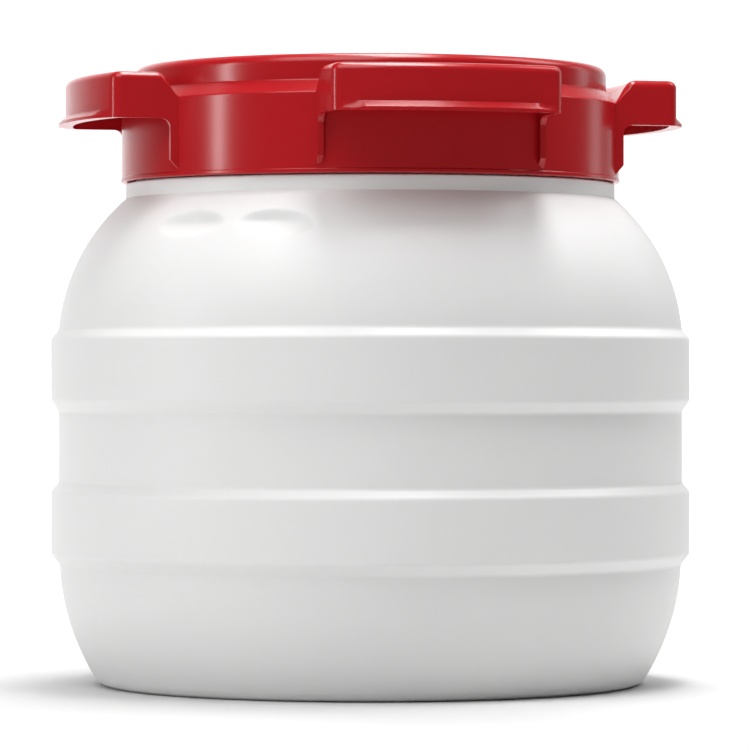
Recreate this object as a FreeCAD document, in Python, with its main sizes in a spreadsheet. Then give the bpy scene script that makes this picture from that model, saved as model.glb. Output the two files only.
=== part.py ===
import FreeCAD, Part
import math
import os
import Sketcher

# A wide-mouthed fermenting barrel with a screw lid: a blown barrel with a threaded neck,
# a moulded lid with four finger ears, and the soft ring that seals the lid on the neck.
# Origin: centre of the standing face. +Z up, one ear along each of +X, +Y, -X and -Y.
# The ears are moulded in one with the lid. Each is a solid of its own here, face to face
# with the lid, so that the finger space under it is easy to keep open.

doc = FreeCAD.newDocument("fermenting_bucket")
sheet = doc.addObject("Spreadsheet::Sheet", "sizes")
UP = FreeCAD.Vector(0, 0, 1)
NEAR = 0.05  # edges are found by place to within this many millimetres
TURN = 360.0
QUARTER = TURN / 4

DRIVING_SIZES = [
    # barrel body
    ("barrel_wall", 2.5, "wall thickness of the blown barrel"),
    ("heel_drop", 0.5, "shift of an inner corner along its wall, per unit of wall"),
    ("foot_inner", 99.0, "standing ring, inner radius"),
    ("foot_outer", 109.5, "standing ring, outer radius"),
    ("push_up", 6.0, "height of the pushed-up base panel"),
    ("push_up_radius", 91.0, "radius of the pushed-up base panel"),
    ("heel_radius", 113.0, "radius where the bellied lower wall starts"),
    ("heel_height", 1.6, "height where the bellied lower wall starts"),
    ("belly_curve", 96.6, "section radius of the bellied lower wall"),
    ("belly_radius", 128.6, "radius where the lower wall meets the lower hoop"),
    ("body_radius", 129.0, "plain wall between the hoops"),
    ("hoop_radius", 132.1, "outer face of both hoops"),
    ("low_hoop", 49.8, "height where the lower hoop starts"),
    ("high_hoop", 112.8, "height where the upper hoop starts"),
    ("hoop_height", 33.6, "height of a hoop, bevels included"),
    ("hoop_bevel_below", 4.5, "height of a hoop's lower bevel"),
    ("hoop_bevel_above", 3.5, "height of a hoop's upper bevel"),
    ("hoop_edge", 1.2, "rounding of the hoops' edges"),
    ("shoulder_curve", 81.3, "section radius of the shoulder"),
    ("collar_radius", 101.2, "collar between shoulder and thread"),
    ("collar_base", 200.6, "height where the shoulder meets the collar"),
    ("collar_top", 206.8, "top of the collar"),
    ("collar_edge", 0.8, "rounding of the collar's top edge"),
    # thumb hollows on the shoulder, one on each side of a bridge, and the same again opposite
    ("bridge_turn", 45.7, "angle from the first ear to the bridge between two hollows, degrees"),
    ("hollow_length", 20.0, "half length of a thumb hollow's ellipsoid, round the barrel"),
    ("hollow_rise", 8.0, "half width of the ellipsoid, along the hollow's floor"),
    ("hollow_depth", 4.4, "half depth of the ellipsoid"),
    ("hollow_reach", 116.1, "radius of the ellipsoid's centre"),
    ("hollow_height", 187.6, "height of the ellipsoid's centre"),
    ("hollow_turn", 10.5, "angle from the bridge to a hollow's centre, degrees"),
    ("hollow_veer", 5.0, "how far a hollow turns into the wall at its bridge end, degrees"),
    ("hollow_rake", 65.6, "angle of the depth axis above level, steeper than the shoulder's 36, degrees"),
    # neck and thread
    ("neck_radius", 97.0, "outside of the neck, root of its thread"),
    ("neck_top", 237.0, "height where the neck steps in to the rim"),
    ("rim_radius", 94.7, "outside of the rim"),
    ("mouth_radius", 91.9, "inside of the rim"),
    ("rim_edge", 0.6, "rounding of the rim's edges"),
    ("thread_depth", 2.9, "height of a thread ridge"),
    ("thread_root", 5.0, "width of a thread ridge at its root"),
    ("thread_crest", 2.6, "width of a thread ridge at its crest"),
    ("thread_lead", 20.0, "rise in one turn: two starts, 10 mm apart"),
    ("thread_sink", 0.6, "how far a ridge is sunk in its wall"),
    ("neck_thread_start", 211.0, "height of the neck thread's first ridge centre"),
    ("neck_thread_turns", 1.0, "length of each neck thread, in turns"),
    ("lid_thread_drop", 4.4, "lid ridges below the neck ridges, screwed home"),
    ("lid_thread_skip", 0.16, "turns by which the lid thread starts later"),
    ("lid_thread_turns", 0.8, "length of each lid thread, in turns"),
    # lid shell
    ("lid_wall", 2.5, "wall thickness of the lid"),
    ("bevel_drop", 0.4, "drop of a bevel's inner face per unit of wall"),
    ("skirt_radius", 102.9, "outside of the skirt"),
    ("skirt_bottom", 207.2, "lower edge of the skirt"),
    ("skirt_bead", 0.35, "how far the bead at the lower edge stands out"),
    ("bead_height", 1.6, "height of that bead"),
    ("bevel_start", 239.1, "height where the skirt's bevel starts"),
    ("bevel_end", 244.2, "height where the bevel meets the crown"),
    ("crown_radius", 97.7, "outside of the crown"),
    ("lid_top", 254.7, "top of the crown"),
    ("crown_edge", 4.0, "rounding of the crown's outer edge"),
    ("dish_radius", 88.4, "radius of the recessed panel at the crown"),
    ("dish_depth", 10.0, "depth of the recessed panel"),
    ("dish_lean", 2.2, "how far the wall of the recess leans in"),
    ("dish_edge", 2.0, "rounding of the recess"),
    ("plug_radius", 90.4, "outside of the plug that enters the mouth"),
    ("plug_lean", 1.6, "how far the plug narrows downwards"),
    # seal
    ("seal_inner", 91.1, "inner radius of the sealing ring"),
    ("seal_outer", 94.9, "outer radius of the sealing ring"),
    ("seal_thickness", 3.0, "thickness of the sealing ring"),
    ("seal_edge", 0.5, "rounding of the sealing ring"),
    # ears
    ("ear_half", 46.8, "half width of an ear"),
    ("ear_wall", 2.4, "wall thickness of an ear"),
    ("ear_bottom", 230.4, "lower edge of an ear"),
    ("ear_top", 249.0, "top of an ear"),
    ("ear_end_reach", 117.9, "reach of the outer wall at the ear's ends"),
    ("ear_curve", 140.0, "plan radius of the outer wall"),
    ("ear_corner", 3.2, "rounding of the ear's upright corners"),
    ("ear_corner_share", 0.8, "how much tighter the hollow's corners are, per unit of wall"),
    ("ear_edge", 2.2, "rounding of the ear's top edges"),
    ("ear_inner_edge", 1.0, "rounding of the edges at the top of its hollow"),
    ("ear_root", 86.0, "where the ear's block starts, inside the lid wall"),
    ("slope_reach", 102.9, "reach of the top's inner edge, mid-ear"),
    ("slope_curve", 200.0, "plan radius of that edge"),
    ("slope_run", 0.577, "inward run of the ear's inner slope per unit of fall"),
    ("slope_shift", 0.578, "shift of the hollow's top inner edge per unit of ear wall"),
    ("lip_end_reach", 120.9, "reach of the lip, measured as the wall's"),
    ("lip_curve", 142.9, "plan radius of the lip"),
    ("lip_height", 3.6, "height of the flared lip"),
    ("lip_out", 2.9, "width of the lip's bevel"),
    ("lip_up", 2.4, "height of the lip's bevel"),
    ("lip_edge", 0.5, "rounding of the lip's edges"),
    ("lip_corner", 16.0, "plan radius with which the lip dies into the ends"),
    ("rib_reach", 95.1, "reach of the ribs below an ear's ends"),
    ("rib_die", 91.0, "reach where a rib sinks into the skirt at its foot"),
    ("rib_foot", 209.2, "height where a rib dies into the skirt"),
    ("rib_full", 213.8, "height where a rib has its full reach"),
    ("rib_curve", 3.8, "inside radius between rib and ear"),
]
for row, (alias, number, meaning) in enumerate(DRIVING_SIZES, start=1):
    sheet.set("A%d" % row, meaning)
    sheet.set("B%d" % row, str(number))
    sheet.setAlias("B%d" % row, alias)
doc.recompute()


class Size:
    """A length with the sheet formula that it comes from, so that a sketch can be bound to it."""

    def __init__(self, formula, value):
        self.formula = formula
        self.value = value

    def joined(self, sign, other, value):
        other_formula = other.formula if isinstance(other, Size) else str(other)
        return Size("(%s %s %s)" % (self.formula, sign, other_formula), value)

    def __add__(self, other):
        return self.joined("+", other, self.value + plain(other))

    def __sub__(self, other):
        return self.joined("-", other, self.value - plain(other))

    def __mul__(self, other):
        return self.joined("*", other, self.value * plain(other))

    def __neg__(self):
        return Size("(-%s)" % self.formula, -self.value)


def plain(size):
    return size.value if isinstance(size, Size) else size


def cell(alias):
    return Size("sizes.%s" % alias, getattr(sheet, alias))


def bind(feature, prop, size):
    """Set a property of a feature from the sheet."""
    feature.setExpression(prop, size.formula)


ZERO = Size("0", 0.0)


class Bend:
    """A round stretch of an outline; the centre is on the left (+1) or right (-1) of the way."""

    def __init__(self, radius, side):
        self.radius = radius
        self.side = side


def origin_plane(body, role):
    return next(item for item in body.Origin.OriginFeatures if item.Role == role)


def new_sketch(body, name, role, lift=None):
    sketch = body.newObject("Sketcher::SketchObject", name)
    sketch.AttachmentSupport = [(origin_plane(body, role), "")]
    sketch.MapMode = "FlatFace"
    if lift is not None:
        bind(sketch, "AttachmentOffset.Base.z", lift)
    return sketch


def arc_between(start, end, bend):
    """The short arc of the bend's radius from start to end."""
    chord = end - start
    across = FreeCAD.Vector(-chord.y, chord.x, 0).normalize()
    reach = math.sqrt(bend.radius.value ** 2 - chord.Length ** 2 / 4)
    centre = (start + end) * 0.5 + across * (bend.side * reach)
    first, last = (start, end) if bend.side > 0 else (end, start)
    from_angle = math.atan2(first.y - centre.y, first.x - centre.x)
    to_angle = math.atan2(last.y - centre.y, last.x - centre.x)
    circle = Part.Circle(centre, UP, bend.radius.value)
    return Part.ArcOfCircle(circle, from_angle, to_angle)


def draw_outline(sketch, path):
    """Draw a closed outline of corners, with a Bend between two corners where the way is round.

    Every corner and every bend's radius is bound to the sheet."""
    corners = [step for step in path if not isinstance(step, Bend)]
    places = [FreeCAD.Vector(x.value, y.value, 0) for x, y in corners]
    bends = {}
    count = 0
    for step in path:
        if isinstance(step, Bend):
            bends[count - 1] = step
        else:
            count += 1
    starts = []
    for index in range(count):
        start, end = places[index], places[(index + 1) % count]
        bend = bends.get(index)
        if bend is None:
            line = sketch.addGeometry(Part.LineSegment(start, end), False)
            starts.append((line, 1, 2))
        else:
            arc = sketch.addGeometry(arc_between(start, end, bend), False)
            starts.append((arc, 1, 2) if bend.side > 0 else (arc, 2, 1))
            radius = sketch.addConstraint(Sketcher.Constraint("Radius", arc, bend.radius.value))
            bind(sketch, "Constraints[%d]" % radius, bend.radius)
    for index in range(count):
        before, here = starts[index - 1], starts[index]
        sketch.addConstraint(Sketcher.Constraint("Coincident", before[0], before[2], here[0], here[1]))
    for index, (x, y) in enumerate(corners):
        geometry, point, _ = starts[index]
        for kind, size in (("DistanceX", x), ("DistanceY", y)):
            limit = sketch.addConstraint(
                Sketcher.Constraint(kind, -1, 1, geometry, point, size.value))
            bind(sketch, "Constraints[%d]" % limit, size)


def revolve(name, path):
    """A body turned about Z from an outline of (radius, height) corners."""
    body = doc.addObject("PartDesign::Body", name)
    sketch = new_sketch(body, name + "_section", "XZ_Plane")
    draw_outline(sketch, path)
    turned = body.newObject("PartDesign::Revolution", name + "_turned")
    turned.Profile = sketch
    turned.ReferenceAxis = (sketch, ["V_Axis"])
    turned.Angle = TURN
    doc.recompute()
    return body


def pick_edges(shape, wanted):
    return ["Edge%d" % (index + 1) for index, edge in enumerate(shape.Edges) if wanted(edge)]


def dress(body, kind, name, wanted, size_prop, size):
    """A fillet or chamfer on the edges of the body's tip that pass a test."""
    base = body.Tip
    feature = body.newObject("PartDesign::" + kind, name)
    feature.Base = (base, pick_edges(base.Shape, wanted))
    bind(feature, size_prop, size)
    doc.recompute()
    return feature


def ring_at(radius, height):
    """A test for a full circular edge about Z with this radius and height."""
    def wanted(edge):
        curve = edge.Curve
        if not isinstance(curve, Part.Circle):
            return False
        on_axis = math.hypot(curve.Center.x, curve.Center.y) < NEAR
        return on_axis and abs(curve.Radius - radius) < NEAR and abs(curve.Center.z - height) < NEAR
    return wanted


def any_of(tests):
    return lambda edge: any(test(edge) for test in tests)


def rounded_rings(body, name, rings, size):
    """Round the body's circular edges at the given (radius, height) places."""
    tests = [ring_at(plain(radius), plain(height)) for radius, height in rings]
    return dress(body, "Fillet", name, any_of(tests), "Radius", size)


def turned_copies(name, source, count, first=0.0):
    """Links to one object, spaced evenly about Z from a first angle."""
    copies = []
    for index in range(count):
        link = doc.addObject("App::Link", "%s_%d" % (name, index + 1))
        link.LinkedObject = source
        angle = first + TURN / count * index
        link.Placement = FreeCAD.Placement(FreeCAD.Vector(), FreeCAD.Rotation(UP, angle))
        copies.append(link)
    return copies


def fuse(name, shapes):
    joined = doc.addObject("Part::MultiFuse", name)
    joined.Shapes = shapes
    joined.Refine = True
    doc.recompute()
    return joined


def cut(name, base, tool):
    result = doc.addObject("Part::Cut", name)
    result.Base = base
    result.Tool = tool
    result.Refine = True
    doc.recompute()
    return result


rim_top = cell("lid_top") - cell("lid_wall") - cell("seal_thickness")


# The barrel: one blown shell, made here as its outside less its cavity.

def hoop(start, inset):
    """One hoop rib: a bevel out, the hoop's face, and a bevel back to the wall."""
    face = cell("hoop_radius") - inset
    top = start + cell("hoop_height")
    return [
        (face, start + cell("hoop_bevel_below")),
        (face, top - cell("hoop_bevel_above")),
        (cell("body_radius") - inset, top),
    ]


def barrel_path(inset):
    """The barrel's section from its base up to the neck, moved inwards by inset."""
    return [
        (ZERO, cell("push_up") + inset),
        (cell("push_up_radius"), cell("push_up") + inset),
        (cell("foot_inner"), ZERO + inset),
        (cell("foot_outer") - inset * cell("heel_drop"), ZERO + inset),
        (cell("heel_radius") - inset, cell("heel_height") + inset),
        Bend(cell("belly_curve") - inset, +1),
        (cell("belly_radius") - inset, cell("low_hoop")),
        *hoop(cell("low_hoop"), inset),
        (cell("body_radius") - inset, cell("high_hoop")),
        *hoop(cell("high_hoop"), inset),
        Bend(cell("shoulder_curve") - inset, +1),
        (cell("collar_radius") - inset, cell("collar_base") - inset * cell("heel_drop")),
        (cell("collar_radius") - inset, cell("collar_top") - inset),
        (cell("neck_radius") - inset, cell("collar_top") - inset),
    ]


def barrel_outside():
    neck, rim = cell("neck_radius"), cell("rim_radius")
    rim_start = cell("neck_top") + neck - rim
    body = revolve("barrel_outside", barrel_path(ZERO) + [
        (neck, cell("neck_top")),
        (rim, rim_start),
        (rim, rim_top),
        (ZERO, rim_top),
    ])
    hoop_corners = [(cell("belly_radius"), cell("low_hoop")), (cell("body_radius"), cell("high_hoop"))]
    for start in (cell("low_hoop"), cell("high_hoop")):
        hoop_corners += hoop(start, ZERO)
    rounded_rings(body, "hoop_edges", hoop_corners, cell("hoop_edge"))
    rounded_rings(body, "collar_edge_round", [(cell("collar_radius"), cell("collar_top"))],
                  cell("collar_edge"))
    rounded_rings(body, "rim_round", [(rim, rim_top)], cell("rim_edge"))
    rounded_rings(body, "foot_edge", [(cell("foot_outer"), ZERO), (cell("heel_radius"), cell("heel_height"))],
                  cell("hoop_edge"))
    return body


def barrel_cavity():
    wall = cell("barrel_wall")
    neck, mouth = cell("neck_radius") - wall, cell("mouth_radius")
    return revolve("barrel_cavity", barrel_path(wall) + [
        (neck, cell("neck_top") - wall),
        (mouth, cell("neck_top") - wall + neck - mouth),
        (mouth, cell("lid_top")),
        (ZERO, cell("lid_top")),
    ])


def thumb_hollows(name, grow):
    """Two pairs of raked ellipsoids, each deepest at its top and at its bridge; grow adds a wall."""
    hollows = []
    for bridge in (sheet.bridge_turn, sheet.bridge_turn + TURN / 2):
        for side in (-1, 1):
            hollow = doc.addObject("Part::Ellipsoid", "%s_%d" % (name, len(hollows) + 1))
            bind(hollow, "Radius1", cell("hollow_depth") + grow)
            bind(hollow, "Radius2", cell("hollow_rise") + grow)
            bind(hollow, "Radius3", cell("hollow_length") + grow)
            turn = FreeCAD.Rotation(UP, bridge + side * sheet.hollow_turn)
            rake = FreeCAD.Rotation(FreeCAD.Vector(0, 1, 0), QUARTER - sheet.hollow_rake)
            veer = FreeCAD.Rotation(UP, -side * sheet.hollow_veer)
            centre = FreeCAD.Vector(sheet.hollow_reach, 0, sheet.hollow_height)
            hollow.Placement = FreeCAD.Placement(turn.multVec(centre), turn * rake * veer)
            hollows.append(hollow)
    return fuse(name, hollows)


def thread(name, wall, crest, start, turns):
    """One thread ridge: a trapezium carried up a helix, sunk a little into its wall."""
    body = doc.addObject("PartDesign::Body", name)
    sketch = new_sketch(body, name + "_section", "XZ_Plane")
    half_root, half_crest = cell("thread_root") * 0.5, cell("thread_crest") * 0.5
    draw_outline(sketch, [
        (wall, start - half_root),
        (crest, start - half_crest),
        (crest, start + half_crest),
        (wall, start + half_root),
    ])
    ridge = body.newObject("PartDesign::AdditiveHelix", name + "_ridge")
    ridge.Profile = sketch
    ridge.ReferenceAxis = (sketch, ["V_Axis"])
    ridge.Mode = "pitch-height-angle"
    bind(ridge, "Pitch", cell("thread_lead"))
    bind(ridge, "Height", cell("thread_lead") * turns)
    doc.recompute()
    return body


def make_barrel():
    neck = cell("neck_radius")
    ridge = thread("neck_thread", neck - cell("thread_sink"), neck + cell("thread_depth"),
                   cell("neck_thread_start"), cell("neck_thread_turns"))
    blank = cut("barrel_hollowed", barrel_outside(), thumb_hollows("thumb_hollows", ZERO))
    threaded = fuse("barrel_threaded", [blank] + turned_copies("neck_thread_start", ridge, 2))
    cavity = cut("barrel_inside", barrel_cavity(), thumb_hollows("hollow_backs", cell("barrel_wall")))
    return cut("barrel", threaded, cavity)


# The lid: a turned cap with the thread inside its skirt.

def lid_shell():
    wall = cell("lid_wall")
    skirt, crown = cell("skirt_radius"), cell("crown_radius")
    bottom, top = cell("skirt_bottom"), cell("lid_top")
    ceiling = top - wall
    panel = top - cell("dish_depth")
    bead_top = bottom + cell("bead_height")
    ledge = skirt - cell("bevel_end") + cell("bevel_start")
    body = revolve("lid_shell", [
        (skirt + cell("skirt_bead"), bottom),
        (skirt + cell("skirt_bead"), bead_top),
        (skirt, bead_top + cell("skirt_bead")),
        (skirt, cell("bevel_start")),
        (ledge, cell("bevel_end")),
        (crown, cell("bevel_end") + (ledge - crown)),
        (crown, top),
        (cell("dish_radius"), top),
        (cell("dish_radius") - cell("dish_lean"), panel),
        (ZERO, panel),
        (ZERO, panel - wall),
        (cell("plug_radius") - cell("plug_lean"), panel - wall),
        (cell("plug_radius"), ceiling),
        (crown - wall, ceiling),
        (crown - wall, cell("bevel_end") - wall * cell("bevel_drop")),
        (skirt - wall, cell("bevel_start") - wall * cell("bevel_drop")),
        (skirt - wall, bottom),
    ])
    rounded_rings(body, "crown_round", [(crown, top)], cell("crown_edge"))
    rounded_rings(body, "dish_round", [
        (cell("dish_radius"), top),
        (cell("dish_radius") - cell("dish_lean"), panel),
        (cell("plug_radius") - cell("plug_lean"), panel - wall),
    ], cell("dish_edge"))
    return body


def make_lid():
    inside = cell("skirt_radius") - cell("lid_wall")
    start = cell("neck_thread_start") - cell("lid_thread_drop")
    start = start + cell("thread_lead") * cell("lid_thread_skip")
    ridge = thread("lid_thread", inside + cell("thread_sink"), inside - cell("thread_depth"),
                   start, cell("lid_thread_turns"))
    threads = turned_copies("lid_thread_start", ridge, 2, TURN * sheet.lid_thread_skip)
    return fuse("lid", [lid_shell()] + threads)


# The ears: four alike, each an open-bottomed box against the skirt with a rib below each end.

def lid_outside():
    """The lid's outer shape where the ears meet it: skirt, bevel and the foot of the crown."""
    skirt, crown = cell("skirt_radius"), cell("crown_radius")
    ledge = skirt - cell("bevel_end") + cell("bevel_start")
    return revolve("lid_outside", [
        (ZERO, ZERO),
        (skirt, ZERO),
        (skirt, cell("bevel_start")),
        (ledge, cell("bevel_end")),
        (crown, cell("bevel_end") + (ledge - crown)),
        (crown, cell("lid_top")),
        (ZERO, cell("lid_top")),
    ])


def upright_at(reach, half):
    """A test for an upright edge at x = reach and y = +half or -half."""
    def wanted(edge):
        box = edge.BoundBox
        flat = box.XLength < NEAR and box.YLength < NEAR
        return flat and abs(box.Center.x - reach) < NEAR and abs(abs(box.Center.y) - half) < NEAR
    return wanted


def ear_slab(name, inset, bottom):
    """The ear's block, or with the wall as inset its hollow: curved outside, sloped inside."""
    body = doc.addObject("PartDesign::Body", name)
    plan = new_sketch(body, name + "_plan", "XY_Plane", bottom)
    half, reach = cell("ear_half") - inset, cell("ear_end_reach") - inset
    root, top = cell("ear_root"), cell("ear_top") - inset
    draw_outline(plan, [
        (root, -half),
        (reach, -half),
        Bend(cell("ear_curve") - inset, +1),
        (reach, half),
        (root, half),
    ])
    block = body.newObject("PartDesign::Pad", name + "_block")
    block.Profile = plan
    bind(block, "Length", top - bottom)
    doc.recompute()
    dress(body, "Fillet", name + "_corners", upright_at(reach.value, half.value), "Radius",
          cell("ear_corner") - inset * cell("ear_corner_share"))
    slope = new_sketch(body, name + "_slope", "XZ_Plane")
    above = top + cell("ear_edge")
    foot = cell("bevel_start")
    edge = cell("slope_reach") + inset * cell("slope_shift")
    run = cell("slope_run")
    axis_x = cell("slope_reach") - cell("slope_curve")
    draw_outline(slope, [
        (edge + run * cell("ear_edge"), above),
        (cell("ear_root") - cell("ear_corner"), above),
        (cell("ear_root") - cell("ear_corner"), foot),
        (edge - run * (top - foot), foot),
    ])
    axis = slope.addGeometry(Part.LineSegment(
        FreeCAD.Vector(axis_x.value, foot.value, 0), FreeCAD.Vector(axis_x.value, above.value, 0)), True)
    slope.addConstraint(Sketcher.Constraint("Vertical", axis))
    for kind, size in (("DistanceX", axis_x), ("DistanceY", foot)):
        limit = slope.addConstraint(Sketcher.Constraint(kind, -1, 1, axis, 1, size.value))
        bind(slope, "Constraints[%d]" % limit, size)
    before = block.Shape.Volume
    groove = body.newObject("PartDesign::Groove", name + "_inner_slope")
    groove.Profile = slope
    groove.ReferenceAxis = (slope, ["Axis0"])
    groove.Angle = TURN
    doc.recompute()
    if groove.Shape.Volume >= before:
        raise RuntimeError("the inner slope of %s cut nothing" % name)
    return body


def top_edges(top):
    """A test for the edges round the top of an ear, and those down its inner slope."""
    def wanted(edge):
        box = edge.BoundBox
        level = box.ZLength < NEAR
        on_top = abs(box.ZMax - top) < NEAR
        sloped = on_top and box.ZLength > NEAR and box.XLength > NEAR and box.YLength < NEAR
        return (level and on_top) or sloped
    return wanted


def ear_ribs(body):
    """The ear's end walls carried down the skirt as two ribs that die into it at the foot."""
    half, wall = cell("ear_half"), cell("ear_wall")
    reach, bottom, curve = cell("rib_reach"), cell("ear_bottom"), cell("rib_curve")
    root = cell("ear_root")
    side = new_sketch(body, "ear_rib_side", "XZ_Plane", half)
    draw_outline(side, [
        (root, cell("rib_foot")),
        (cell("rib_die"), cell("rib_foot")),
        (reach, cell("rib_full")),
        (reach, bottom - curve),
        Bend(curve, -1),
        (reach + curve, bottom),
        (reach + curve, bottom + wall),
        (root, bottom + wall),
    ])
    rib = body.newObject("PartDesign::Pad", "ear_rib")
    rib.Profile = side
    rib.Reversed = True
    bind(rib, "Length", wall)
    doc.recompute()
    twin = body.newObject("PartDesign::Mirrored", "ear_ribs")
    twin.Originals = [rib]
    twin.MirrorPlane = (origin_plane(body, "XZ_Plane"), [""])
    body.Tip = twin
    doc.recompute()


def bend_at(height):
    """A test for a level round edge at this height."""
    def wanted(edge):
        box = edge.BoundBox
        return isinstance(edge.Curve, Part.Circle) and box.ZLength < NEAR and abs(box.ZMax - height) < NEAR
    return wanted


def ear_lip():
    """The flared lip: a slab with widely rounded ends and a bevel back to the ear's wall."""
    body = doc.addObject("PartDesign::Body", "ear_lip")
    plan = new_sketch(body, "ear_lip_plan", "XY_Plane", cell("ear_bottom"))
    half, reach = cell("ear_half"), cell("lip_end_reach")
    root = cell("ear_end_reach") - cell("lip_corner")
    draw_outline(plan, [
        (root, -half),
        (reach, -half),
        Bend(cell("lip_curve"), +1),
        (reach, half),
        (root, half),
    ])
    slab = body.newObject("PartDesign::Pad", "ear_lip_slab")
    slab.Profile = plan
    bind(slab, "Length", cell("lip_height"))
    doc.recompute()
    dress(body, "Fillet", "ear_lip_ends", upright_at(reach.value, half.value), "Radius", cell("lip_corner"))
    lip_top = sheet.ear_bottom + sheet.lip_height
    bevel = dress(body, "Chamfer", "ear_lip_bevel", bend_at(lip_top), "Size", cell("lip_out"))
    bevel.ChamferType = "Two distances"
    bevel.FlipDirection = True
    bind(bevel, "Size2", cell("lip_up"))
    doc.recompute()
    edges = any_of([bend_at(sheet.ear_bottom), bend_at(lip_top - sheet.lip_up)])
    dress(body, "Fillet", "ear_lip_edges", edges, "Radius", cell("lip_edge"))
    return body


def make_ears(names):
    """The ears, from one model turned about Z; the first points along +X."""
    block = ear_slab("ear_block", ZERO, cell("ear_bottom"))
    dress(block, "Fillet", "ear_top_edges", top_edges(sheet.ear_top), "Radius", cell("ear_edge"))
    ear_ribs(block)
    hollow = ear_slab("ear_hollow", cell("ear_wall"), cell("rib_foot"))
    inner_top = sheet.ear_top - sheet.ear_wall
    dress(hollow, "Fillet", "ear_hollow_edges", top_edges(inner_top), "Radius", cell("ear_inner_edge"))
    opened = cut("ear_opened", fuse("ear_solid", [block, ear_lip()]), hollow)
    outside = lid_outside()
    return [cut(name, copy, outside) for name, copy in zip(names, turned_copies("ear", opened, len(names)))]


# The seal: a soft ring lying on the barrel's rim, under the crown.

def make_seal():
    base, top = rim_top, rim_top + cell("seal_thickness")
    inner, outer = cell("seal_inner"), cell("seal_outer")
    body = revolve("lid_seal", [(inner, base), (outer, base), (outer, top), (inner, top)])
    rounded_rings(body, "seal_edges", [(inner, base), (outer, base), (outer, top), (inner, top)],
                  cell("seal_edge"))
    return body


pieces = [make_barrel(), make_lid(), make_seal()]
pieces += make_ears(["ear_right", "ear_back", "ear_left", "ear_front"])

for item in doc.Objects:
    if "Invalid" in item.State or "Error" in item.State:
        raise RuntimeError("%s did not compute" % item.Label)
for piece in pieces:
    shape = piece.Shape
    if shape.isNull() or not shape.isValid() or len(shape.Solids) != 1:
        raise RuntimeError("%s is not one valid solid" % piece.Label)

os.makedirs("parts", exist_ok=True)
for piece in pieces:
    piece.Shape.exportStep("parts/%s.step" % piece.Label)
    print("%s: %.1f cm3" % (piece.Label, piece.Shape.Volume / 1000))
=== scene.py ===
import math
import bpy
import bmesh
from mathutils import Matrix, Vector


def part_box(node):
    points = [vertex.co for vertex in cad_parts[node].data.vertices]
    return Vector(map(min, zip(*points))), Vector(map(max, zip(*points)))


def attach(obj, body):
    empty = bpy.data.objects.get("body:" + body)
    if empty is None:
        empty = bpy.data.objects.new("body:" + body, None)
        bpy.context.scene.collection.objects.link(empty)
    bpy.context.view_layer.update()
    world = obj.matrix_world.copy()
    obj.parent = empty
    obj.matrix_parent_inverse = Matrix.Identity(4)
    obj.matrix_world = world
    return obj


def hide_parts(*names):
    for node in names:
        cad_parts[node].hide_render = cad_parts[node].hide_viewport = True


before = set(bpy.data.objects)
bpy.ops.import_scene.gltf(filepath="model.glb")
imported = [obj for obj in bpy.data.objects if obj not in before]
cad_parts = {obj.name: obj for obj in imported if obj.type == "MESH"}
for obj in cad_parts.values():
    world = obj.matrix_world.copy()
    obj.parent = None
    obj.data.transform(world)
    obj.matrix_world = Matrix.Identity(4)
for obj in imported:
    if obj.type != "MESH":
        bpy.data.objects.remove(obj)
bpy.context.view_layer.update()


# ---- The barrel -------------------------------------------------------------------------
# A squat drum of high-density polyethylene, blown in one piece: about 2.5 mm of wall,
# two hoop ribs, a bellied foot with its base pushed up, and a short wide neck.

MM = 0.001
UP = Vector((0, 0, 1))
SIDES = 240  # steps in one turn of everything round
WALL = 2.5
barrel_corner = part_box("barrel")[1]
RIM_TOP = barrel_corner.z / MM
HOOP_RADIUS = barrel_corner.x / MM
HOOP_DEPTH = 3.1
BODY_RADIUS = HOOP_RADIUS - HOOP_DEPTH
FOOT_INNER, FOOT_OUTER = 99.0, 109.5
PUSH_UP, PUSH_UP_RADIUS = 6.0, 91.0
HEEL = (113.0, 1.6)
BELLY_CURVE, BELLY_RADIUS = 96.6, 128.6
LOW_HOOP, HIGH_HOOP = 49.8, 112.8
HOOP_HEIGHT, BEVEL_BELOW, BEVEL_ABOVE = 33.6, 4.5, 3.5
SHOULDER_CURVE = 81.3
COLLAR_RADIUS, COLLAR_BASE, COLLAR_TOP = 101.2, 200.6, 206.8
NECK_RADIUS, NECK_TOP = 97.0, 237.0
RIM_RADIUS, MOUTH_RADIUS = 94.7, 91.9
HOOP_EDGE, FOOT_EDGE, PUSH_UP_EDGE = 0.9, 1.2, 3.0
COLLAR_EDGE, NECK_EDGE, RIM_EDGE = 0.8, 0.8, 0.6


def arc_centre(start, end, radius):
    """Centre of the arc of this radius from start to end that bulges away from the axis."""
    start, end = Vector(start), Vector(end)
    chord = end - start
    across = Vector((-chord.y, chord.x)).normalized()
    return (start + end) / 2 + across * math.sqrt(radius ** 2 - chord.length_squared / 4)


def arc(start, end, radius, steps):
    """Points on that arc, evenly spaced, without its two ends."""
    centre = arc_centre(start, end, radius)
    first, last = Vector(start) - centre, Vector(end) - centre
    turn = -first.angle_signed(last)
    points = []
    for step in range(1, steps):
        angle = math.atan2(first.y, first.x) + turn * step / steps
        points.append((centre.x + radius * math.cos(angle), centre.y + radius * math.sin(angle)))
    return points


def hoop(start, inset):
    """The outline of one hoop rib above its lower corner."""
    top = start + HOOP_HEIGHT
    face = HOOP_RADIUS - inset
    return [(face, start + BEVEL_BELOW), (face, top - BEVEL_ABOVE), (BODY_RADIUS - inset, top)]


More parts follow.
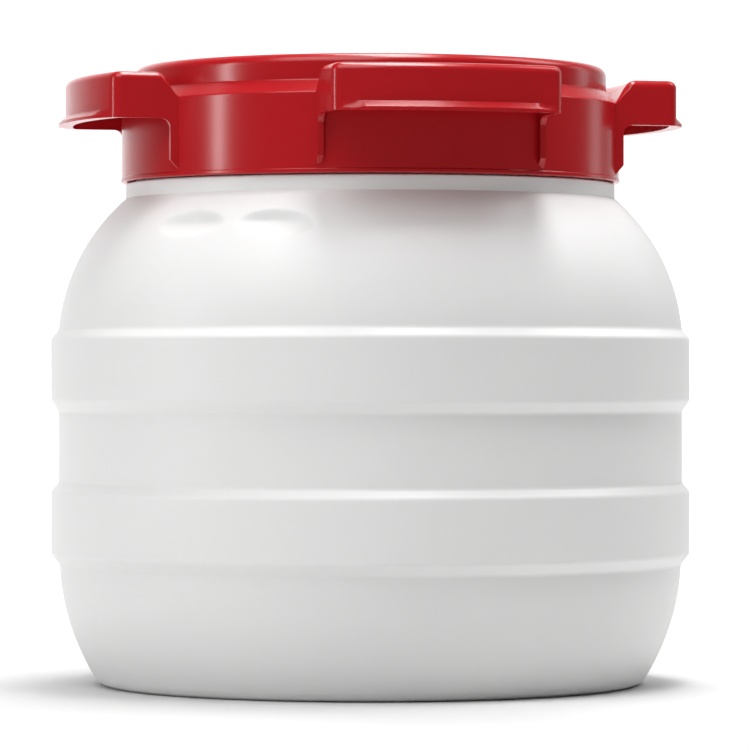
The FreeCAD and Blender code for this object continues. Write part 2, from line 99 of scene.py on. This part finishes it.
def barrel_outline(inset):
    """The barrel's wall in (radius, height) from the base's middle to the neck, inset inwards."""
    heel = (HEEL[0] - inset, HEEL[1] + inset)
    belly = (BELLY_RADIUS - inset, LOW_HOOP)
    shoulder = (BODY_RADIUS - inset, HIGH_HOOP + HOOP_HEIGHT)
    collar = (COLLAR_RADIUS - inset, COLLAR_BASE - inset / 2)
    return [
        (0, PUSH_UP + inset),
        (PUSH_UP_RADIUS * 0.5, PUSH_UP + inset),
        (PUSH_UP_RADIUS, PUSH_UP + inset),
        (FOOT_INNER, inset),
        (FOOT_OUTER - inset / 2, inset),
        heel, *arc(heel, belly, BELLY_CURVE - inset, 20), belly,
        *hoop(LOW_HOOP, inset),
        (BODY_RADIUS - inset, HIGH_HOOP),
        *hoop(HIGH_HOOP, inset),
        *arc(shoulder, collar, SHOULDER_CURVE - inset, 24), collar,
        (COLLAR_RADIUS - inset, COLLAR_TOP - inset),
        (NECK_RADIUS - inset, COLLAR_TOP - inset),
    ]


def turned(outline):
    """A bmesh turned about Z from an outline of (radius, height) points in millimetres."""
    bm = bmesh.new()
    points = [bm.verts.new((radius * MM, 0, height * MM)) for radius, height in outline]
    pairs = list(zip(points, points[1:]))
    if outline[0][0] > 0:
        pairs.append((points[-1], points[0]))
    for first, second in pairs:
        bm.edges.new((first, second))
    bmesh.ops.spin(bm, geom=bm.verts[:] + bm.edges[:], cent=(0, 0, 0), axis=UP, dvec=(0, 0, 0),
                   angle=math.tau, steps=SIDES, use_merge=True)
    bmesh.ops.remove_doubles(bm, verts=bm.verts[:], dist=0.01 * MM)
    bmesh.ops.recalc_face_normals(bm, faces=bm.faces[:])
    return bm


def radius_of(point):
    return math.hypot(point.x, point.y) / MM


def round_rings(bm, rings, size, segments=4):
    """Round the ring edges at these (radius, height) places, size millimetres to each side."""
    def on_ring(edge):
        return any(all(abs(radius_of(vert.co) - radius) < 0.05 and abs(vert.co.z / MM - height) < 0.05
                       for vert in edge.verts) for radius, height in rings)
    bmesh.ops.bevel(bm, geom=[edge for edge in bm.edges if on_ring(edge)], offset=size * MM,
                    offset_type="OFFSET", segments=segments, profile=0.5, affect="EDGES", material=-1)


rim_step = NECK_TOP + NECK_RADIUS - RIM_RADIUS
inner_step = NECK_TOP - WALL + NECK_RADIUS - WALL - MOUTH_RADIUS
barrel = turned(
    barrel_outline(0)
    + [(NECK_RADIUS, NECK_TOP), (RIM_RADIUS, rim_step), (RIM_RADIUS, RIM_TOP), (MOUTH_RADIUS, RIM_TOP)]
    + [(MOUTH_RADIUS, inner_step), (NECK_RADIUS - WALL, NECK_TOP - WALL)]
    + barrel_outline(WALL)[::-1])
for inset in (0, WALL):
    corners = [(BELLY_RADIUS - inset, LOW_HOOP), (BODY_RADIUS - inset, HIGH_HOOP)]
    corners += hoop(LOW_HOOP, inset) + hoop(HIGH_HOOP, inset)
    round_rings(barrel, corners, HOOP_EDGE)
    round_rings(barrel, [(COLLAR_RADIUS - inset, COLLAR_TOP - inset)], COLLAR_EDGE)
    round_rings(barrel, [(FOOT_INNER, inset), (FOOT_OUTER - inset / 2, inset)], FOOT_EDGE)
    round_rings(barrel, [(PUSH_UP_RADIUS, PUSH_UP + inset)], PUSH_UP_EDGE)
round_rings(barrel, [(RIM_RADIUS, RIM_TOP), (MOUTH_RADIUS, RIM_TOP)], RIM_EDGE)
round_rings(barrel, [(NECK_RADIUS, NECK_TOP), (RIM_RADIUS, rim_step), (MOUTH_RADIUS, inner_step)],
            NECK_EDGE)

# The neck carries a two-start thread. A ridge is sunk a little into its wall and both of
# its ends die into it.

THREAD_ROOT, THREAD_CREST, THREAD_DEPTH, THREAD_SINK = 5.0, 2.6, 2.9, 0.6
THREAD_LEAD = 20.0
THREAD_EDGE = 0.7
THREAD_RUN_OUT = 0.06  # turns over which a ridge dies away
NECK_THREAD_START, NECK_THREAD_TURNS = 211.0, 1.0


def thread_ridge(wall, outward, start, first_angle, turns):
    """One closed thread ridge on a wall of this radius; outward is +1, or -1 inside a skirt."""
    bm = bmesh.new()
    foot, crest = wall - outward * THREAD_SINK, wall + outward * THREAD_DEPTH
    corners = [(foot, -THREAD_ROOT / 2), (crest, -THREAD_CREST / 2),
               (crest, THREAD_CREST / 2), (foot, THREAD_ROOT / 2)]
    section = bm.faces.new([bm.verts.new((radius * MM, 0, (start + rise) * MM))
                            for radius, rise in corners])
    steps = round(SIDES * turns)
    bmesh.ops.spin(bm, geom=[section], cent=(0, 0, 0), axis=UP, angle=math.tau * turns, steps=steps,
                   dvec=(0, 0, THREAD_LEAD * turns / steps * MM))
    for vert in bm.verts:
        climbed = (vert.co.z / MM - start) / THREAD_LEAD
        turned_by = math.atan2(vert.co.y, vert.co.x) / math.tau
        turned_by += round(climbed - turned_by)
        along = min(turned_by, turns - turned_by) / THREAD_RUN_OUT
        height = min(max(along, 0.02), 1) ** 0.5
        radius = foot + (radius_of(vert.co) - foot) * height
        vert.co = Vector((vert.co.x, vert.co.y, 0)).normalized() * radius * MM + UP * vert.co.z
    bmesh.ops.rotate(bm, verts=bm.verts[:], cent=(0, 0, 0), matrix=Matrix.Rotation(first_angle, 3, "Z"))
    crests = [edge for edge in bm.edges if not edge.is_boundary
              and all(abs(radius_of(vert.co) - foot) > THREAD_SINK for vert in edge.verts)
              and edge.calc_face_angle(0) > math.radians(30)]
    bmesh.ops.bevel(bm, geom=crests, offset=THREAD_EDGE * MM, offset_type="OFFSET", segments=3, profile=0.5,
                    affect="EDGES", material=-1)
    bmesh.ops.recalc_face_normals(bm, faces=bm.faces[:])
    return bm


def boolean(base, tool, operation):
    """Both solids joined, or the base cut by the tool; both bmeshes are used up."""
    solids = []
    for bm in (base, tool):
        mesh = bpy.data.meshes.new("blank")
        bm.to_mesh(mesh)
        bm.free()
        solids.append(bpy.data.objects.new("blank", mesh))
        bpy.context.scene.collection.objects.link(solids[-1])
    modifier = solids[0].modifiers.new("boolean", "BOOLEAN")
    modifier.object = solids[1]
    modifier.operation = operation
    modifier.solver = "EXACT"
    worked_out = solids[0].evaluated_get(bpy.context.evaluated_depsgraph_get())
    result = bpy.data.meshes.new_from_object(worked_out)
    joined = bmesh.new()
    joined.from_mesh(result)
    for solid in solids:
        bpy.data.objects.remove(solid)
    return joined


for start_angle in (0, math.pi):
    ridge = thread_ridge(NECK_RADIUS, +1, NECK_THREAD_START, start_angle, NECK_THREAD_TURNS)
    barrel = boolean(barrel, ridge, "UNION")
bmesh.ops.remove_doubles(barrel, verts=barrel.verts[:], dist=0.03 * MM)

# Two pairs of thumb hollows are pressed into the shoulder, each pair about a bridge. A hollow
# is part of an ellipsoid raked steeper than the shoulder and turned into the wall towards its
# bridge: it has a crisp arch above, a blunt end at the bridge, and a floor that runs out below.

HOLLOW_SIZE = Vector((8.0, 20.0, 4.4))  # along the floor, round the barrel, into the wall
HOLLOW_CENTRE = Vector((116.1, 0, 187.6))
HOLLOW_TURN, HOLLOW_VEER, HOLLOW_RAKE = math.radians(10.5), math.radians(5), math.radians(65.6)
HOLLOW_EDGE = 0.8
BRIDGES = (math.radians(45.7), math.radians(225.7))
HOLLOW_SPREAD = math.radians(25)  # to each side of a bridge
HOLLOW_LOWEST, HOLLOW_HIGHEST = 172, 199
HOLLOW_CUTS, HOLLOW_SMOOTHINGS = 3, 3


def near_bridge(face):
    """Whether a face of the shoulder lies where the hollows are pressed in."""
    middle = face.calc_center_median()
    angle = math.atan2(middle.y, middle.x)
    away = min(abs(math.remainder(angle - bridge, math.tau)) for bridge in BRIDGES)
    return away < HOLLOW_SPREAD and HOLLOW_LOWEST < middle.z / MM < HOLLOW_HIGHEST


def shoulder_radius(height, inset):
    """The shoulder's radius at a height."""
    start = (BODY_RADIUS - inset, HIGH_HOOP + HOOP_HEIGHT)
    end = (COLLAR_RADIUS - inset, COLLAR_BASE - inset / 2)
    centre = arc_centre(start, end, SHOULDER_CURVE - inset)
    return centre.x + math.sqrt((SHOULDER_CURVE - inset) ** 2 - (height - centre.y) ** 2)


def press(point, place, inset):
    """Press a point in millimetres into one hollow, easing over its rim."""
    size = HOLLOW_SIZE + Vector((inset, inset, inset))
    local = place.inverted() @ point
    spread = (local.x / size.x) ** 2 + (local.y / size.y) ** 2
    if spread >= 1:
        return point
    floor = -size.z * math.sqrt(1 - spread)
    near = max(HOLLOW_EDGE - abs(local.z - floor), 0) / HOLLOW_EDGE
    local.z = min(local.z, floor) - near ** 2 * HOLLOW_EDGE / 4
    return place @ local


shoulder_faces = [face for face in barrel.faces if near_bridge(face)]
shoulder_edges = list({edge for face in shoulder_faces for edge in face.edges})
fine = bmesh.ops.subdivide_edges(barrel, edges=shoulder_edges, cuts=HOLLOW_CUTS, use_grid_fill=True)
shoulder = {vert for face in shoulder_faces if face.is_valid for vert in face.verts}
shoulder |= {item for item in fine["geom"] if isinstance(item, bmesh.types.BMVert)}
hollows = []
for bridge in BRIDGES:
    for side in (-1, 1):
        turn = Matrix.Rotation(bridge + side * HOLLOW_TURN, 4, "Z")
        rake = Matrix.Rotation(math.pi / 2 - HOLLOW_RAKE, 4, "Y")
        veer = Matrix.Rotation(-side * HOLLOW_VEER, 4, "Z")
        hollows.append(turn @ Matrix.Translation(HOLLOW_CENTRE) @ rake @ veer)
for vert in shoulder:
    height = vert.co.z / MM
    outside = shoulder_radius(height, 0)
    inset = 0 if radius_of(vert.co) > outside - WALL / 2 else WALL
    flat = Vector((vert.co.x, vert.co.y)).normalized() * shoulder_radius(height, inset)
    point = Vector((flat.x, flat.y, height))
    for place in hollows:
        point = press(point, place, inset)
    vert.co = point * MM
for smoothing in range(HOLLOW_SMOOTHINGS):
    bmesh.ops.smooth_vert(barrel, verts=list(shoulder), factor=0.5,
                          use_axis_x=True, use_axis_y=True, use_axis_z=True)


def linear(hex_colour):
    """An sRGB hex colour as linear RGBA."""
    channels = [int(hex_colour[place:place + 2], 16) / 255 for place in (1, 3, 5)]
    return [((c + 0.055) / 1.055) ** 2.4 if c > 0.04045 else c / 12.92 for c in channels] + [1.0]


def add(material, kind, settings=None, links=None):
    """Add a node; settings name properties or inputs, links name (node, output) pairs."""
    node = material.node_tree.nodes.new(kind)
    for name, value in (settings or {}).items():
        if isinstance(name, str) and hasattr(node, name):
            setattr(node, name, value)
        else:
            node.inputs[name].default_value = value
    for name, (source, output) in (links or {}).items():
        material.node_tree.links.new(source.outputs[output], node.inputs[name])
    return node


def new_material(name):
    material = bpy.data.materials.new(name)
    material.use_nodes = True
    material.node_tree.nodes.clear()
    return material


SHARP_EDGE = math.radians(35)


def finish_piece(bm, name, material):
    """Make an object of a bmesh, smooth except over edges sharper than SHARP_EDGE."""
    mesh = bpy.data.meshes.new(name)
    bm.to_mesh(mesh)
    bm.free()
    mesh.materials.append(material)
    mesh.shade_smooth()
    mesh.set_sharp_from_angle(angle=SHARP_EDGE)
    piece = bpy.data.objects.new(name, mesh)
    bpy.context.scene.collection.objects.link(piece)
    weighted = piece.modifiers.new("even_shading", "WEIGHTED_NORMAL")
    weighted.keep_sharp = True
    return piece


# White polyethylene as it leaves the mould: a waxy skin with a broad soft sheen, a little
# light scattered under it, faint clouds where the wall cooled unevenly, and a fine grain.
polyethylene = new_material("white_blown_polyethylene")
place = add(polyethylene, "ShaderNodeTexCoord")
cloud = add(polyethylene, "ShaderNodeTexNoise", {"Scale": 1 / (60 * MM), "Detail": 2.0},
            {"Vector": (place, "Object")})
white = add(polyethylene, "ShaderNodeMix",
            {"data_type": "RGBA", 6: linear("#F0F0F0"), 7: linear("#F3F3F2")}, {0: (cloud, "Fac")})
sheen = add(polyethylene, "ShaderNodeMapRange", {"To Min": 0.38, "To Max": 0.48}, {"Value": (cloud, "Fac")})
grain = add(polyethylene, "ShaderNodeTexNoise", {"Scale": 1 / (1.6 * MM), "Detail": 3.0},
            {"Vector": (place, "Object")})
bump = add(polyethylene, "ShaderNodeBump", {"Strength": 0.25, "Distance": 0.03 * MM},
           {"Height": (grain, "Fac")})
shader = add(polyethylene, "ShaderNodeBsdfPrincipled", {
    "IOR": 1.54,
    "Subsurface Weight": 0.2,
    "Subsurface Radius": (1.0, 1.0, 1.0),
    "Subsurface Scale": 2 * MM,
}, {"Base Color": (white, 2), "Roughness": (sheen, "Result"), "Normal": (bump, "Normal")})
add(polyethylene, "ShaderNodeOutputMaterial", {}, {"Surface": (shader, "BSDF")})
barrel_piece = finish_piece(barrel, "barrel_shell", polyethylene)
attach(barrel_piece, "barrel")
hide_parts("barrel")


# ---- The lid ------------------------------------------------------------------------------
# One moulding of polypropylene: a screw cap with a recessed panel and a plug that enters the
# mouth, and four hollow ears for the fingers, each open below with a rib under both ends.

LID_WALL = 2.5
LID_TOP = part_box("lid")[1].z / MM
DISH_DEPTH = 10.0
PANEL = LID_TOP - DISH_DEPTH
SKIRT_RADIUS, SKIRT_BOTTOM = 102.9, 207.2
BEAD, BEAD_HEIGHT = 0.35, 1.6
BEVEL_START, BEVEL_END = 239.1, 244.2
CROWN_RADIUS = 97.7
DISH_RADIUS, DISH_LEAN = 88.4, 2.2
PLUG_RADIUS, PLUG_LEAN = 90.4, 1.6
INNER_RING, MIDDLE_RING = 30, 60  # rings that divide the flat panel
CROWN_EDGE, DISH_EDGE = 4.0, 1.8
BEVEL_EDGE, SKIRT_EDGE, BEAD_EDGE = 0.5, 0.4, 0.2
BEVEL_DROP = LID_WALL * 0.4  # drop of a bevel's inner face

lid = turned([
    (0, PANEL),
    (INNER_RING, PANEL),
    (MIDDLE_RING, PANEL),
    (DISH_RADIUS - DISH_LEAN, PANEL),
    (DISH_RADIUS, LID_TOP),
    (CROWN_RADIUS, LID_TOP),
    (CROWN_RADIUS, BEVEL_END),
    (SKIRT_RADIUS, BEVEL_START),
    (SKIRT_RADIUS, SKIRT_BOTTOM + BEAD_HEIGHT + BEAD),
    (SKIRT_RADIUS + BEAD, SKIRT_BOTTOM + BEAD_HEIGHT),
    (SKIRT_RADIUS + BEAD, SKIRT_BOTTOM),
    (SKIRT_RADIUS - LID_WALL, SKIRT_BOTTOM),
    (SKIRT_RADIUS - LID_WALL, BEVEL_START - BEVEL_DROP),
    (CROWN_RADIUS - LID_WALL, BEVEL_END - BEVEL_DROP),
    (CROWN_RADIUS - LID_WALL, LID_TOP - LID_WALL),
    (PLUG_RADIUS, LID_TOP - LID_WALL),
    (PLUG_RADIUS - PLUG_LEAN, PANEL - LID_WALL),
    (MIDDLE_RING, PANEL - LID_WALL),
    (INNER_RING, PANEL - LID_WALL),
    (0, PANEL - LID_WALL),
])
round_rings(lid, [(CROWN_RADIUS, LID_TOP)], CROWN_EDGE, 8)
round_rings(lid, [(DISH_RADIUS, LID_TOP), (DISH_RADIUS - DISH_LEAN, PANEL)], DISH_EDGE, 5)
round_rings(lid, [(PLUG_RADIUS - PLUG_LEAN, PANEL - LID_WALL)], DISH_EDGE, 5)
round_rings(lid, [(SKIRT_RADIUS, BEVEL_START), (CROWN_RADIUS, BEVEL_END)], BEVEL_EDGE, 3)
round_rings(lid, [(SKIRT_RADIUS + BEAD, SKIRT_BOTTOM), (SKIRT_RADIUS - LID_WALL, SKIRT_BOTTOM)],
            SKIRT_EDGE, 3)
round_rings(lid, [(SKIRT_RADIUS + BEAD, SKIRT_BOTTOM + BEAD_HEIGHT)], BEAD_EDGE, 2)

# An ear is a curved block with a sloping inner side, a flared lip along its lower edge and a
# rib under each end, hollowed out from below. One is made and turned to the four places.

EAR_HALF, EAR_WALL = 46.8, 2.4
EAR_BOTTOM, EAR_TOP = 230.4, 249.0
EAR_END_REACH, EAR_CURVE = 117.9, 140.0
EAR_ROOT = 86.0
SLOPE_REACH, SLOPE_CURVE, SLOPE_RUN = 102.9, 200.0, 0.577
LIP_REACH, LIP_CURVE, LIP_CORNER = 120.9, 142.9, 16.0
LIP_HEIGHT, LIP_BAND = 3.6, 1.2
RIB_REACH, RIB_DIE, RIB_FOOT, RIB_FULL, RIB_CURVE = 95.1, 91.0, 209.2, 213.8, 3.8
EAR_CORNER, EAR_TOP_EDGE, EAR_INNER_EDGE = 3.4, 3.2, 0.9
EAR_STEPS = 22  # steps across an ear, each wider than the ear's roundings


def sag(across, curve, half):
    """How much further out an arc through the ear's ends reaches at this place across."""
    return math.sqrt(curve ** 2 - across ** 2) - math.sqrt(curve ** 2 - half ** 2)


def drawn_across(outline, half, bulges):
    """A solid of a side outline of (reach, height) drawn across the ear, bulging by its arcs."""
    bm = bmesh.new()
    section = bm.faces.new([bm.verts.new((reach * MM, -half * MM, height * MM))
                            for reach, height in outline])
    layer = bm.verts.layers.float.new("curve")
    for vert, curve in zip(section.verts, bulges):
        vert[layer] = curve
    grown = bmesh.ops.extrude_face_region(bm, geom=[section], use_keep_orig=True)["geom"]
    moved = [item for item in grown if isinstance(item, bmesh.types.BMVert)]
    bmesh.ops.translate(bm, verts=moved, vec=(0, 2 * half * MM, 0))
    long_edges = [edge for edge in bm.edges
                  if abs(edge.verts[0].co.y - edge.verts[1].co.y) > half * MM]
    bmesh.ops.subdivide_edges(bm, edges=long_edges, cuts=EAR_STEPS - 1)
    for vert in bm.verts:
        if vert[layer] > 0:
            vert.co.x += sag(vert.co.y / MM, vert[layer], half) * MM
    bmesh.ops.recalc_face_normals(bm, faces=bm.faces[:])
    return bm


def round_edges(bm, wanted, size, segments=4):
    bmesh.ops.bevel(bm, geom=[edge for edge in bm.edges if wanted(edge)], offset=size * MM,
                    offset_type="OFFSET", segments=segments, profile=0.5, affect="EDGES", material=-1)


def upright(edge, half):
    """Whether an edge runs up an outer corner of the ear."""
    first, second = (vert.co / MM for vert in edge.verts)
    at_corner = all(abs(abs(end.y) - half) < 0.1 and end.x > EAR_END_REACH - 3 for end in (first, second))
    return at_corner and abs(first.x - second.x) < 0.1


def round_top(top, foot):
    """A test for the edges round the top of the ear and down the ends of its inner slope."""
    def wanted(edge):
        ends = [vert.co / MM for vert in edge.verts]
        touches_top = any(abs(end.z - top) < 0.1 for end in ends)
        above_foot = all(end.z > foot - 0.1 and end.x > EAR_ROOT + 1 for end in ends)
        turns = len(edge.link_faces) == 2 and edge.calc_face_angle() > math.radians(25)
        return turns and touches_top and above_foot
    return wanted


def lip_push(across):
    """How far the lip stands out of the wall; its plan dies into the ends with wide corners."""
    corner_start = EAR_HALF - LIP_CORNER
    wall = EAR_END_REACH + sag(across, EAR_CURVE, EAR_HALF)
    lip = LIP_REACH + sag(across, LIP_CURVE, EAR_HALF)
    if abs(across) > corner_start:
        middle = LIP_REACH + sag(0, LIP_CURVE, EAR_HALF) - LIP_CURVE
        centre = middle + math.sqrt((LIP_CURVE - LIP_CORNER) ** 2 - corner_start ** 2)
        lip = centre + math.sqrt(max(LIP_CORNER ** 2 - (abs(across) - corner_start) ** 2, 0))
    return max(lip - wall, 0)


def slope_outline(edge_reach, top, foot, root):
    """The slope's two points at the ear's end, top first, and the point behind its foot."""
    return [(edge_reach, top), (edge_reach - SLOPE_RUN * (top - foot), foot), (root, foot)]


def ear_blank():
    """The ear before it is trimmed to the lid: block, ribs and lip, less the hollow."""
    quarter = math.pi / 2
    bend = [(RIB_REACH + RIB_CURVE * (1 - math.cos(quarter * step / 5)),
             EAR_BOTTOM - RIB_CURVE * (1 - math.sin(quarter * step / 5))) for step in range(6)]
    slope_edge = SLOPE_REACH - sag(0, SLOPE_CURVE, EAR_HALF)
    outline = [(EAR_ROOT, RIB_FOOT), (RIB_DIE, RIB_FOOT), (RIB_REACH, RIB_FULL), *bend]
    straight = len(outline)
    outline += [(EAR_END_REACH, height) for height in
                (EAR_BOTTOM, EAR_BOTTOM + LIP_BAND, EAR_BOTTOM + LIP_HEIGHT, EAR_TOP)]
    outline += slope_outline(slope_edge, EAR_TOP, BEVEL_START - 1, EAR_ROOT)
    bulges = [0] * straight + [EAR_CURVE] * 4 + [SLOPE_CURVE] * 2 + [0]
    block = drawn_across(outline, EAR_HALF, bulges)
    for vert in block.verts:
        if vert.co.x > (EAR_END_REACH - 1) * MM and vert.co.z < (EAR_BOTTOM + LIP_BAND + 0.1) * MM:
            vert.co.x += lip_push(vert.co.y / MM) * MM
    round_edges(block, lambda edge: upright(edge, EAR_HALF), EAR_CORNER, 6)
    round_edges(block, round_top(EAR_TOP, BEVEL_START - 1), EAR_TOP_EDGE, 6)

    half, reach, top = EAR_HALF - EAR_WALL, EAR_END_REACH - EAR_WALL, EAR_TOP - EAR_WALL
    inner_edge = SLOPE_REACH + EAR_WALL * SLOPE_RUN - sag(0, SLOPE_CURVE, half)
    below = RIB_FOOT - RIB_CURVE
    root = EAR_ROOT - EAR_WALL
    outline = [(root, below), (reach, below), (reach, top)]
    outline += slope_outline(inner_edge, top, BEVEL_START, root)
    bulges = [0, EAR_CURVE - EAR_WALL, EAR_CURVE - EAR_WALL, SLOPE_CURVE, SLOPE_CURVE, 0]
    hollow = drawn_across(outline, half, bulges)
    round_edges(hollow, lambda edge: upright(edge, half), EAR_INNER_EDGE, 3)
    round_edges(hollow, round_top(top, BEVEL_START), EAR_INNER_EDGE, 3)
    ear = boolean(block, hollow, "DIFFERENCE")
    bmesh.ops.remove_doubles(ear, verts=ear.verts[:], dist=0.01 * MM)
    return ear


# The ears reach a little into the lid's wall, so that they join it all round.
lid_core = turned([(0, 0), (SKIRT_RADIUS - 1, 0), (SKIRT_RADIUS - 1, BEVEL_START - 0.5),
                   (CROWN_RADIUS - 1, BEVEL_END - 0.5), (CROWN_RADIUS - 1, LID_TOP + 1), (0, LID_TOP + 1)])
ear = boolean(ear_blank(), lid_core, "DIFFERENCE")
for quarter in range(4):
    copy = ear.copy()
    bmesh.ops.rotate(copy, verts=copy.verts[:], cent=(0, 0, 0),
                     matrix=Matrix.Rotation(math.pi / 2 * quarter, 3, "Z"))
    lid = boolean(lid, copy, "UNION")
ear.free()

# Two ridges inside the skirt. Screwed home, each lies just below one of the neck's.
LID_THREAD_DROP, LID_THREAD_SKIP, LID_THREAD_TURNS = 4.4, 0.16, 0.8
for half_turn in (0, math.pi):
    ridge = thread_ridge(SKIRT_RADIUS - LID_WALL, -1,
                         NECK_THREAD_START - LID_THREAD_DROP + THREAD_LEAD * LID_THREAD_SKIP,
                         math.tau * LID_THREAD_SKIP + half_turn, LID_THREAD_TURNS)
    lid = boolean(lid, ridge, "UNION")
bmesh.ops.remove_doubles(lid, verts=lid.verts[:], dist=0.02 * MM)

# Red polypropylene from a polished mould: deep even red with clear bright highlights on every
# rounded edge, a sheen that drifts slightly with the flow, and a hardly visible fine skin.
polypropylene = new_material("red_moulded_polypropylene")
place = add(polypropylene, "ShaderNodeTexCoord")
flow = add(polypropylene, "ShaderNodeTexNoise", {"Scale": 1 / (45 * MM), "Detail": 2.0},
           {"Vector": (place, "Object")})
red = add(polypropylene, "ShaderNodeMix",
          {"data_type": "RGBA", 6: linear("#B6171E"), 7: linear("#BA1920")}, {0: (flow, "Fac")})
sheen = add(polypropylene, "ShaderNodeMapRange", {"To Min": 0.19, "To Max": 0.25}, {"Value": (flow, "Fac")})
skin = add(polypropylene, "ShaderNodeTexNoise", {"Scale": 1 / (0.9 * MM), "Detail": 2.0},
           {"Vector": (place, "Object")})
bump = add(polypropylene, "ShaderNodeBump", {"Strength": 0.2, "Distance": 0.01 * MM},
           {"Height": (skin, "Fac")})
shader = add(polypropylene, "ShaderNodeBsdfPrincipled", {"IOR": 1.49},
             {"Base Color": (red, 2), "Roughness": (sheen, "Result"), "Normal": (bump, "Normal")})
add(polypropylene, "ShaderNodeOutputMaterial", {}, {"Surface": (shader, "BSDF")})
lid_piece = finish_piece(lid, "lid_moulding", polypropylene)
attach(lid_piece, "lid")
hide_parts("lid", "ear_front", "ear_right", "ear_back", "ear_left")


# ---- The sealing ring --------------------------------------------------------------------
# A flat ring of soft off-white rubber. It lies loose on the barrel's rim under the crown and
# is squeezed between the two when the lid is screwed home.

SEAL_THICKNESS = 3.0
SEAL_INNER, SEAL_OUTER = 91.1, 94.9
SEAL_EDGE = 0.5
seal_corners = [(SEAL_INNER, RIM_TOP), (SEAL_OUTER, RIM_TOP),
                (SEAL_OUTER, RIM_TOP + SEAL_THICKNESS), (SEAL_INNER, RIM_TOP + SEAL_THICKNESS)]
seal = turned(seal_corners)
round_rings(seal, seal_corners, SEAL_EDGE)

# Unpolished rubber: nearly no highlight, its off-white slightly mottled.
rubber = new_material("off_white_rubber")
place = add(rubber, "ShaderNodeTexCoord")
mottle = add(rubber, "ShaderNodeTexNoise", {"Scale": 1 / (5 * MM), "Detail": 4.0},
             {"Vector": (place, "Object")})
cream = add(rubber, "ShaderNodeMix",
            {"data_type": "RGBA", 6: linear("#DDDCD6"), 7: linear("#E4E3DE")}, {0: (mottle, "Fac")})
bump = add(rubber, "ShaderNodeBump", {"Strength": 0.3, "Distance": 0.03 * MM},
           {"Height": (mottle, "Fac")})
shader = add(rubber, "ShaderNodeBsdfPrincipled", {"Roughness": 0.7, "IOR": 1.52},
             {"Base Color": (cream, 2), "Normal": (bump, "Normal")})
add(rubber, "ShaderNodeOutputMaterial", {}, {"Surface": (shader, "BSDF")})
seal_piece = finish_piece(seal, "sealing_ring", rubber)
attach(seal_piece, "seal")
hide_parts("lid_seal")


# ---- The room ------------------------------------------------------------------------------
# A sheet of white paper that lies flat under the barrel and is swept up behind it. It is lit
# by soft boxes: a big one high on the left, a long one overhead, one high on the right, a
# strip at each side, and one on the paper behind.

PAPER_HALF, PAPER_FRONT = 6.0, -2.5
PAPER_FLAT, PAPER_BEND, PAPER_RISE = 4.5, 1.5, 3.0
BEND_STEPS = 16

paper = bmesh.new()
front = [paper.verts.new((-PAPER_HALF, PAPER_FRONT, 0)), paper.verts.new((PAPER_HALF, PAPER_FRONT, 0))]
line = paper.edges.new(front)
moves = [Vector((0, PAPER_FLAT, 0))]
for step in range(BEND_STEPS):
    angle = math.pi / 2 * (step + 0.5) / BEND_STEPS
    moves.append(Vector((0, math.cos(angle), math.sin(angle))) * (PAPER_BEND * math.pi / 2 / BEND_STEPS))
moves.append(Vector((0, 0, PAPER_RISE)))
for move in moves:
    grown = bmesh.ops.extrude_edge_only(paper, edges=[line])["geom"]
    moved = [item for item in grown if isinstance(item, bmesh.types.BMVert)]
    bmesh.ops.translate(paper, verts=moved, vec=move)
    line = next(item for item in grown if isinstance(item, bmesh.types.BMEdge))
bmesh.ops.recalc_face_normals(paper, faces=paper.faces[:])

# Uncoated paper: flat white with no highlight.
white_paper = new_material("white_paper_sweep")
shader = add(white_paper, "ShaderNodeBsdfPrincipled", {"Base Color": linear("#DCDCDC"), "Roughness": 0.9})
add(white_paper, "ShaderNodeOutputMaterial", {}, {"Surface": (shader, "BSDF")})
floor = finish_piece(paper, "floor", white_paper)

world = bpy.data.worlds.new("room")
bpy.context.scene.world = world
world.use_nodes = True
background = world.node_tree.nodes["Background"]
background.inputs["Color"].default_value = (1, 1, 1, 1)
background.inputs["Strength"].default_value = 0.08


def soft_box(name, place, aim, size, power):
    light = bpy.data.lights.new(name, "AREA")
    light.shape = "RECTANGLE"
    light.size, light.size_y = size
    light.energy = power
    box = bpy.data.objects.new(name, light)
    box.matrix_world = Matrix.LocRotScale(
        Vector(place), (Vector(aim) - Vector(place)).to_track_quat("-Z", "Y"), None)
    bpy.context.scene.collection.objects.link(box)


soft_box("key_light", (-0.66, -0.79, 1.6), (0, 0, 0.1), (1.3, 1.3), 16)
soft_box("top_light", (0.15, 0, 1.7), (0, 0, 0.2), (1.3, 0.4), 25)
soft_box("right_high_light", (1.1, 0.1, 1.4), (0, 0, 0.2), (0.6, 0.9), 6)
soft_box("left_strip", (-1.5, -0.1, 0.5), (0, 0, 0.2), (0.12, 0.6), 3.5)
soft_box("right_strip", (1.5, 0.5, 0.4), (0, 0, 0.2), (0.3, 1.0), 1.2)
soft_box("backdrop_light", (0.5, 1.2, 2.2), (0.7, 3.2, 0.8), (3.5, 1.0), 130)

# The camera looks level across the barrel from a little to its left.
CAMERA_AZIMUTH = math.radians(-15)
CAMERA_DISTANCE, CAMERA_HEIGHT = 1.852, 0.1278
SIDE_SHIFT = 0.00627  # of the sensor's width

camera_data = bpy.data.cameras.new("camera")
camera_data.lens = 214.3
camera_data.sensor_width = 36
camera_data.shift_x = SIDE_SHIFT
camera = bpy.data.objects.new("camera", camera_data)
camera.location = (CAMERA_DISTANCE * math.sin(CAMERA_AZIMUTH),
                   -CAMERA_DISTANCE * math.cos(CAMERA_AZIMUTH), CAMERA_HEIGHT)
camera.rotation_euler = (math.pi / 2, 0, CAMERA_AZIMUTH)
bpy.context.scene.collection.objects.link(camera)
bpy.context.scene.camera = camera
bpy.context.scene.view_settings.view_transform = "Standard"
